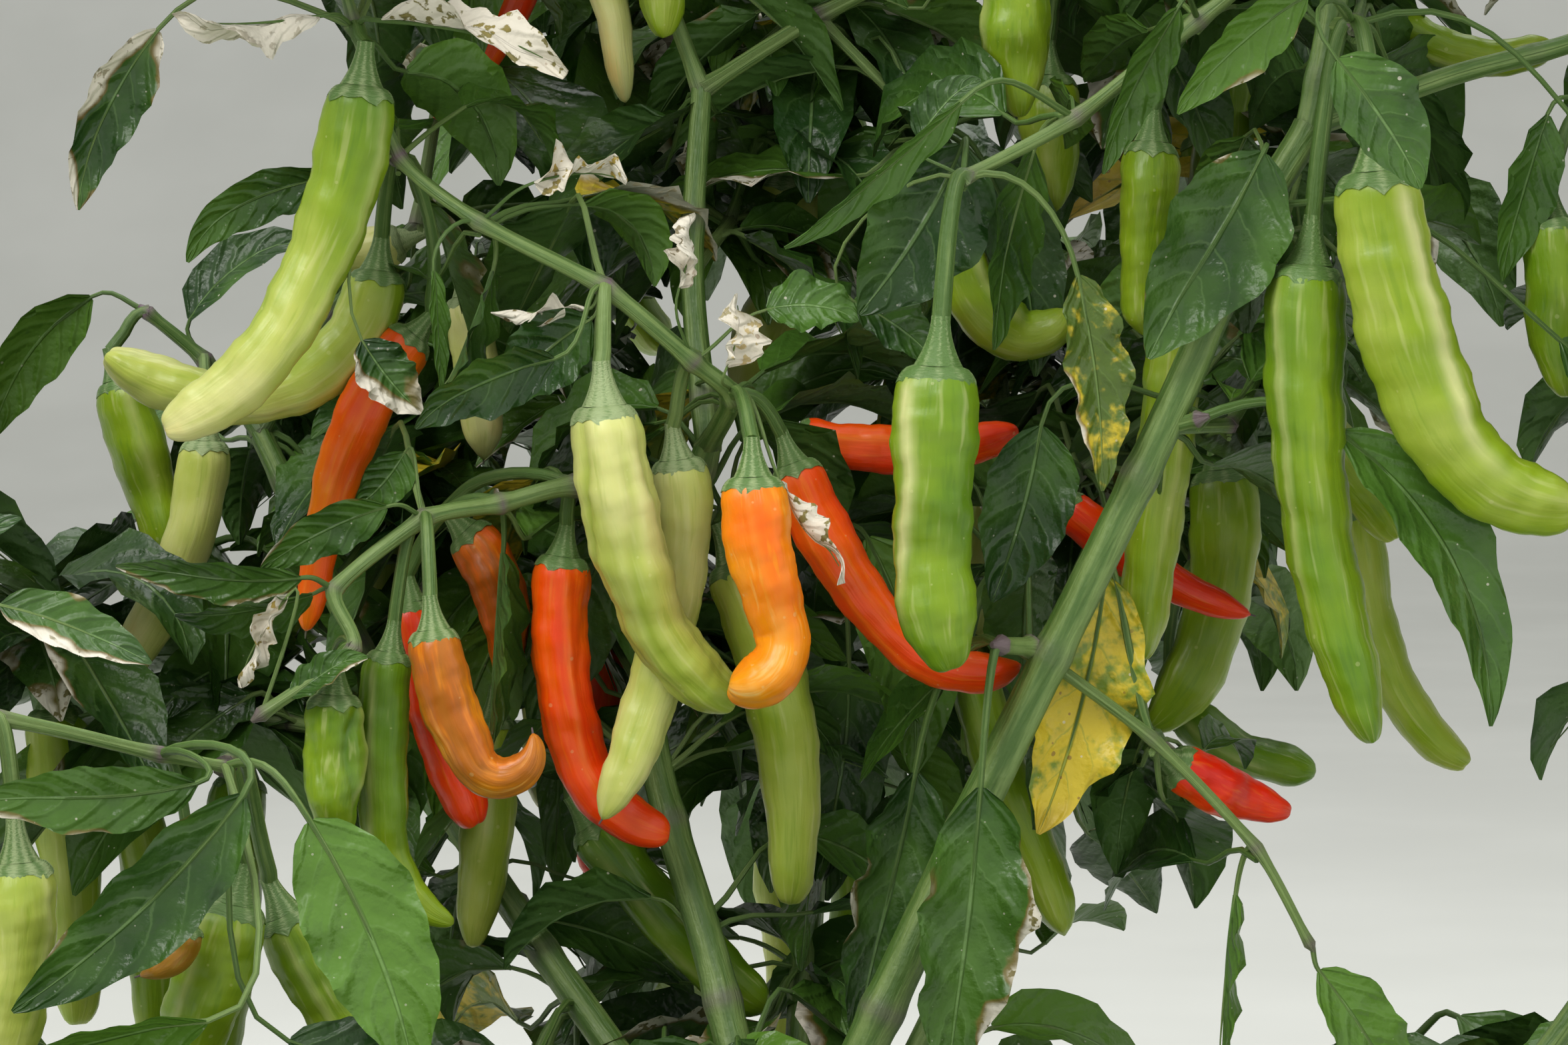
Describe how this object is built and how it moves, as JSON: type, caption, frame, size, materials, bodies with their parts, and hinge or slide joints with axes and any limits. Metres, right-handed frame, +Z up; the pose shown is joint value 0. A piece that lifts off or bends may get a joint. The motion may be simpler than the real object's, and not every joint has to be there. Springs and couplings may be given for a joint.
{
  "type": "chilli pepper plant",
  "caption": "Chilli pepper plant rooted in the ground: a short green-brown trunk, forked boughs, dark glossy leaves and long hanging chillies that ripen from green to red.",
  "frame": {"origin": "centre of the flat cut under the trunk, at ground level", "axes": "+Z up along the trunk; the side that the picture shows faces -Y; +X to the right of that view"},
  "size_m": [0.5633, 0.4432, 0.6205],
  "materials": {
    "trunk_bark": "matt bark, green-brown",
    "green_stem": "satin green stem with pale ridges",
    "foliage": "glossy leaves and waxy fruit"
  },
  "bodies": {
    "root": {"trunk": "trunk_bark", "bough_right": "green_stem", "bough_centre": "green_stem", "bough_left_back": "green_stem", "bough_right_back": "green_stem", "bough_back": "green_stem", "bough_front_left": "green_stem", "bough_front_right": "green_stem", "bough_left_side": "green_stem", "bough_right_side": "green_stem", "bough_right_top": "green_stem", "bough_right_out": "green_stem", "bough_centre_up": "green_stem", "foliage_upper_left": "foliage", "foliage_lower_left": "foliage", "foliage_front_left": "foliage", "foliage_node_low": "foliage", "foliage_node_middle": "foliage", "foliage_node_high": "foliage", "foliage_right": "foliage", "foliage_middle": "foliage", "foliage_centre_top": "foliage", "foliage_left_back": "foliage", "foliage_right_top": "foliage", "foliage_right_out": "foliage", "foliage_right_back": "foliage", "foliage_centre_back": "foliage", "foliage_back": "foliage", "foliage_back_low": "foliage", "foliage_left_low": "foliage", "foliage_left_side": "foliage", "foliage_left_foot": "foliage", "foliage_right_side": "foliage", "foliage_right_low": "foliage", "foliage_front_right": "foliage", "foliage_front_low": "foliage", "foliage_left_foot_side": "foliage", "foliage_centre": "foliage", "foliage_centre_high": "foliage", "foliage_left_middle": "foliage", "foliage_right_middle": "foliage", "foliage_trunk_right": "foliage", "foliage_trunk_left": "foliage"}
  },
  "joints": []
}
